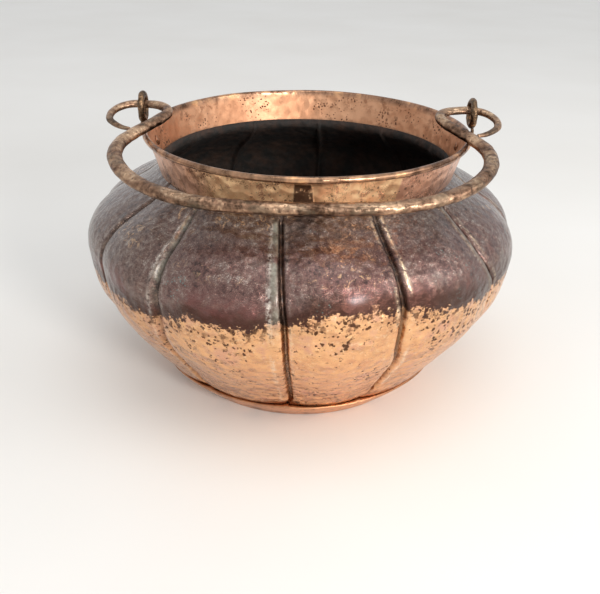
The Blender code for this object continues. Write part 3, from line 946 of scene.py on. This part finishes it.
def make_collar(material):
    thick = SHEET / math.cos(COLLAR_LEAN)
    up = np.linspace(COLLAR_FOOT_Z, COLLAR_WALL_TOP, INNER_ROWS)
    inner_wall = np.stack([collar_inner(up), up], axis=1)
    over = np.radians(np.linspace(ROLL_START, ROLL_END, ROLL_ROWS))
    bead_out = np.stack([BEAD_R + BEAD_OUTER * np.cos(over), BEAD_Z + BEAD_OUTER * np.sin(over)], axis=1)
    back = np.radians(np.linspace(ROLL_END, RETURN_END, RETURN_ROWS))
    bead_in = np.stack([BEAD_R + BEAD_INNER * np.cos(back), BEAD_Z + BEAD_INNER * np.sin(back)], axis=1)
    down = np.linspace(COLLAR_WALL_TOP - 0.0002, COLLAR_FOOT_Z - 0.0008, OUTER_ROWS)
    outer_wall = np.stack([collar_inner(down) + thick, down], axis=1)
    profile = np.concatenate([inner_wall, bead_out, bead_in, outer_wall])
    rows = [INNER_ROWS, ROLL_ROWS, RETURN_ROWS, OUTER_ROWS]
    is_inner = np.repeat([1.0, 0.0, 0.0, 0.0], rows)
    is_bead = np.repeat([0.0, 1.0, 0.0, 0.0], rows)
    is_bead[INNER_ROWS - 1] = 0.4  # the wall's last row is partly in the bead's colour
    is_outer = np.repeat([0.0, 0.0, 0.0, 1.0], rows)

    near_lap = np.concatenate([LAP_FROM + np.linspace(-0.8, 0.8, 9), LAP_TO + np.linspace(-2.2, 3.4, 26)])
    angle = np.unique(np.concatenate([np.arange(-180, 180, COLLAR_STEP), near_lap]))
    turn = np.radians(angle)[None, :]
    level = profile[:, 1:] * np.ones_like(turn)
    points = turned(profile[:, :1], turn, level)

    # the lap is wider towards the foot, with a slanted right edge
    ragged = LAP_RAGGED * lumps(points, 0.0045, 12.0)
    slant = LAP_TO + (BEAD_Z - level) * LAP_SLANT + ragged
    left_side = angle[None, :] - LAP_FROM + 0.5 * ragged
    right_side = slant - angle[None, :]
    lap = smooth_step(left_side, -LAP_EDGE, LAP_EDGE) * smooth_step(right_side, -LAP_EDGE, LAP_EDGE)
    lap = lap * is_outer[:, None] * smooth_step(level, *LAP_TOP)
    dents = 0.0007 * lumps(points, 0.040, 6.0) + 0.00022 * (hammer_marks(points, 0.0085, 2.0) - 0.4)
    foot = smooth_step(level, COLLAR_FOOT_Z, COLLAR_FOOT_Z + 0.006)
    push = dents * foot + LAP_RISE * lap
    points = points + push[..., None] * turned(1.0, turn, 0.0)
    points[..., 2] += 0.0005 * lumps(points * [1, 1, 0], 0.06, 8.0) * smooth_step(level, 0.225, 0.240)
    ones = np.ones_like(level)
    marks = {"inside": is_inner[:, None] * ones, "bead": is_bead[:, None] * ones, "lap": lap}
    faces = grid_faces(len(profile), len(angle), True)
    piece = add_piece("collar_strip", settle(points), faces, material, marks)
    settle_in(piece, "pot", "collar")


# ---- eyes and rivets ----
EYE_COLUMNS, EYE_SECTION = 72, 24  # points round the ring and round its bar
STRAP_STEP = 0.0007
STRAP_SECTION = 28
STRAP_SQUARENESS = 0.45
MELT_VOXEL = 0.00042
MELT_PASSES = 3
RIVET_COLUMNS = 48
DOME_FOOT = 0.0004
DOME_IN, DOME_OUT = 0.0014, 0.0015
DOME_MIDDLE_R = 0.0002


def melt(obj):
    """Makes the object's overlapping bodies one, with softened joints."""
    remesh = obj.modifiers.new("melt", "REMESH")
    remesh.mode = "VOXEL"
    remesh.voxel_size = MELT_VOXEL
    soften = obj.modifiers.new("soften", "SMOOTH")
    soften.factor = 0.5
    soften.iterations = MELT_PASSES
    graph = bpy.context.evaluated_depsgraph_get()
    mesh = bpy.data.meshes.new_from_object(obj.evaluated_get(graph))
    obj.modifiers.clear()
    obj.data = mesh
    mesh.shade_smooth()


def make_eye(side, label, material):
    """A forged ring standing on the rim, in one piece with a strap that is riveted to the collar."""
    centre = np.array([side * EYE_X, 0.0, EYE_Z])
    a = full_turn(EYE_COLUMNS)[:, None]
    b = full_turn(EYE_SECTION)[None, :]
    bar = EYE_BAR_RADIUS * (1 + 0.07 * np.sin(2 * a + side) + 0.04 * np.sin(5 * a))
    reach = EYE_RING_RADIUS + bar * np.cos(b)
    ring = centre + np.stack([bar * np.sin(b), reach * np.cos(a), reach * np.sin(a)], axis=-1)
    ring_points = ring.reshape(-1, 3)
    ring_faces = grid_faces(EYE_COLUMNS, EYE_SECTION, True)

    table = [(x, z, width) for (x, z), width in zip(STRAP_PATH, STRAP_WIDTHS)]
    path = curve_through(table, STRAP_STEP)
    along = np.gradient(path[:, :2], axis=0)
    along /= np.linalg.norm(along, axis=1)[:, None]
    corner = full_turn(STRAP_SECTION)
    wide, thin = [np.sign(a) * np.abs(a) ** STRAP_SQUARENESS for a in (np.cos(corner), np.sin(corner))]
    x, z, width = path.T[..., None]
    along_x, along_z = along.T[..., None]
    half = thin * STRAP_THICKNESS / 2
    strap = np.stack([side * (x - along_z * half), wide * width / 2, z + along_x * half], axis=-1)
    strap_faces = [[i + len(ring_points) for i in face] for face in capped(strap)]
    points = settle(np.concatenate([ring_points, strap.reshape(-1, 3)]))
    obj = add_piece(label + "_eye_forged", points, ring_faces + strap_faces, material)
    melt(obj)
    vertices = obj.data.vertices
    places, normals = np.empty((2, len(vertices), 3))
    vertices.foreach_get("co", places.ravel())
    vertices.foreach_get("normal", normals.ravel())
    push = 0.00022 * lumps(places, 0.0045, 3.0 + side) - 0.00018 * hammer_marks(places, 0.004, side)
    vertices.foreach_set("co", (places + normals * push[:, None]).ravel())
    settle_in(obj, "pot", label + "_eye")


def make_rivet(side, label, material):
    """A hand-peened rivet through the strap and the collar."""
    inner = -RIVET_GAP
    outer = SHEET + RIVET_GAP + STRAP_THICKNESS + 2 * RIVET_GAP
    spans = np.linspace(0, np.pi / 2, 9)
    dome_in = [(RIVET_HEAD * math.sin(t), inner - DOME_FOOT - DOME_IN * math.cos(t)) for t in spans[1:]]
    dome_out = [(RIVET_HEAD * math.sin(t), outer + DOME_FOOT + DOME_OUT * math.cos(t)) for t in spans[:0:-1]]
    shank = [(RIVET_HEAD, inner), (RIVET_SHANK, inner), (RIVET_SHANK, outer), (RIVET_HEAD, outer)]
    first = (DOME_MIDDLE_R, inner - DOME_FOOT - DOME_IN)
    last = (DOME_MIDDLE_R, outer + DOME_FOOT + DOME_OUT)
    profile = np.array([first] + dome_in + shank + dome_out + [last])
    turn = full_turn(RIVET_COLUMNS)[None, :]
    points = np.stack([profile[:, :1] * np.cos(turn), profile[:, :1] * np.sin(turn),
                       profile[:, 1:] * np.ones_like(turn)], axis=-1)
    beyond = smooth_step(profile[:, :1], RIVET_SHANK, RIVET_HEAD)
    uneven = 1 + 0.10 * beyond * np.sin(2 * turn + side) + 0.04 * beyond * np.sin(5 * turn)
    points[..., :2] *= uneven[..., None]
    points[..., 2] -= np.sign(points[..., 2]) * 0.00035 * hammer_marks(points, 0.0028, side + 2.0)
    spot = Vector((side * collar_inner(RIVET_Z), 0.0, RIVET_Z))
    out = Vector((side * math.cos(COLLAR_LEAN), 0.0, -math.sin(COLLAR_LEAN)))
    placed = Matrix.Translation(spot) @ out.to_track_quat("Z", "Y").to_matrix().to_4x4()
    flat = points.reshape(-1, 3) @ np.array(placed)[:3, :3].T + np.array(placed)[:3, 3]
    piece = add_piece(label + "_rivet_peened", settle(flat), capped(points), material)
    settle_in(piece, "pot", label + "_rivet")


# ---- bail ----
BAIL_STEP = 0.0019
BAIL_SECTION = 28


def make_bail(material):
    """One forged bar, hooked at both ends, in a plane that droops towards the front."""
    right = np.array(BAIL_HALF)
    left = right[:0:-1] * [-1, 1, 1]
    path = curve_through(np.concatenate([left, right]), BAIL_STEP)
    hinge = np.array(next(j for j in frame["joints"] if j["name"] == "bail_swing")["pos_m"])
    tilt = math.radians(BAIL_TILT)
    across = np.array([1.0, 0.0, 0.0])
    outward = np.array([0.0, -math.cos(tilt), -math.sin(tilt)])
    up = np.array([0.0, -math.sin(tilt), math.cos(tilt)])
    along = np.gradient(path[:, :2], axis=0)
    along /= np.linalg.norm(along, axis=1)[:, None]
    section = full_turn(BAIL_SECTION)[None, :, None]
    centre = hinge + path[:, :1] * across + path[:, 1:2] * outward
    side = -along[:, 1:] * across + along[:, :1] * outward
    radius = path[:, 2][:, None, None]
    reach = side[:, None, :] * np.cos(section) + up * BAIL_FLATNESS * np.sin(section)
    points = centre[:, None, :] + reach * radius
    dents = 1 + 0.035 * lumps(points, 0.016, 4.0) + 0.05 * lumps(points, 0.007, 7.0)
    dents = dents - 0.05 * hammer_marks(points, 0.008, 3.0)
    points = centre[:, None, :] + reach * radius * dents[..., None]
    end_spans = np.linspace(0, np.pi / 2, 7)[1:]
    tangent = along[:, :1] * across + along[:, 1:] * outward

    def rounded_end(end, heading):
        ring, middle, thick = points[end], centre[end], path[end, 2]
        return np.array([
            middle + heading * thick * math.sin(t) + (ring - middle) * max(math.cos(t), 0.02)
            for t in end_spans
        ])

    first_end, last_end = rounded_end(0, -tangent[0]), rounded_end(-1, tangent[-1])
    points = np.concatenate([first_end[::-1], points, last_end])
    # a painted highlight along the upper side of the bar's section, broken by lumps
    top = smooth_step(np.sin(section[0, :, 0]), 0.25, 0.85)[None, :]
    top = top * smooth_step(lumps(points, 0.022, 11.0), -0.35, 0.35)
    piece = add_piece("bail_bar", points, capped(points), material, {"painted_top_highlight": top})
    settle_in(piece, "bail", "bail")


# ---- stage ----
FLOOR_REACH = 40.0
FLOOR_WARM, FLOOR_PALE = (0.80, 0.775, 0.73), (0.84, 0.82, 0.78)
SKY = (0.95, 0.97, 1.0, 1.0)
SKY_STRENGTH = 0.80
LAMPS_AIM = (0.0, 0.0, 0.12)
# name, place, size, watts, tint
LAMPS = [
    ("right_window", (1.9, -0.7, 1.25), 1.2, 10.0, (1.0, 0.99, 0.97)),
    ("front_window", (1.10, -1.84, 0.86), 0.50, 30.0, (1.0, 0.99, 0.98)),
    ("top_soft", (0.2, -0.5, 2.2), 1.5, 9.0, (1.0, 0.99, 0.98)),
]


def make_stage():
    look = Look("pale_floor")
    cloudy = look.noise(2.2, 3.0, 0.5)
    colour = look.shades(cloudy, (0.3, FLOOR_WARM), (0.7, FLOOR_PALE))
    floor_look = look.finish(colour, 0.0, 0.6, look.bumps((look.noise(240.0), 0.0003, 0.15)))
    corners = [(x * FLOOR_REACH, y * FLOOR_REACH, 0.0) for x, y in ((-1, -1), (1, -1), (1, 1), (-1, 1))]
    floor = add_piece("floor", corners, [[0, 1, 2, 3]], floor_look)

    world = bpy.data.worlds.new("studio")
    bpy.context.scene.world = world
    world.use_nodes = True
    backdrop = world.node_tree.nodes["Background"]
    backdrop.inputs["Color"].default_value = SKY
    backdrop.inputs["Strength"].default_value = SKY_STRENGTH

    for name, at, size, power, tint in LAMPS:
        lamp = bpy.data.lights.new(name, "AREA")
        lamp.shape = "DISK"
        lamp.size = size
        lamp.energy = power
        lamp.color = tint
        obj = link(name, lamp)
        obj.location = at
        aim = Vector(LAMPS_AIM) - Vector(at)
        obj.rotation_euler = aim.to_track_quat("-Z", "Y").to_euler()


def make_camera():
    data = bpy.data.cameras.new("camera")
    data.lens = LENS
    data.sensor_width = SENSOR_WIDTH
    data.shift_y = SHIFT_Y
    camera = link("camera", data)
    tilt = Matrix.Rotation(math.radians(90 - CAMERA_PITCH), 4, "X")
    roll = Matrix.Rotation(math.radians(CAMERA_ROLL), 4, "Z")
    camera.matrix_world = Matrix.Translation(CAMERA_AT) @ tilt @ roll
    bpy.context.scene.camera = camera


def main():
    bpy.context.scene.view_settings.view_transform = "Standard"
    make_camera()
    make_stage()
    make_bowl(bowl_look())
    make_pan(pan_look())
    make_collar(collar_look())
    wire_node = frame["nodes"]["rim_wire"]
    wire_node.data.materials.clear()
    wire_node.data.materials.append(wire_look())
    forged = bar_look("eye_bronze", EYE_BODY, EYE_HOLLOWS, GOLDEN, 1.6)
    peened = bar_look("rivet_copper", BROWN_COPPER, DARK_BROWN, PINK_COPPER, 2.0)
    for side, label in ((-1, "left"), (1, "right")):
        make_eye(side, label, forged)
        make_rivet(side, label, peened)
    make_bail(bar_look("bail_bronze", BAIL_BODY, BAIL_HOLLOWS, BAIL_BRIGHT))


main()
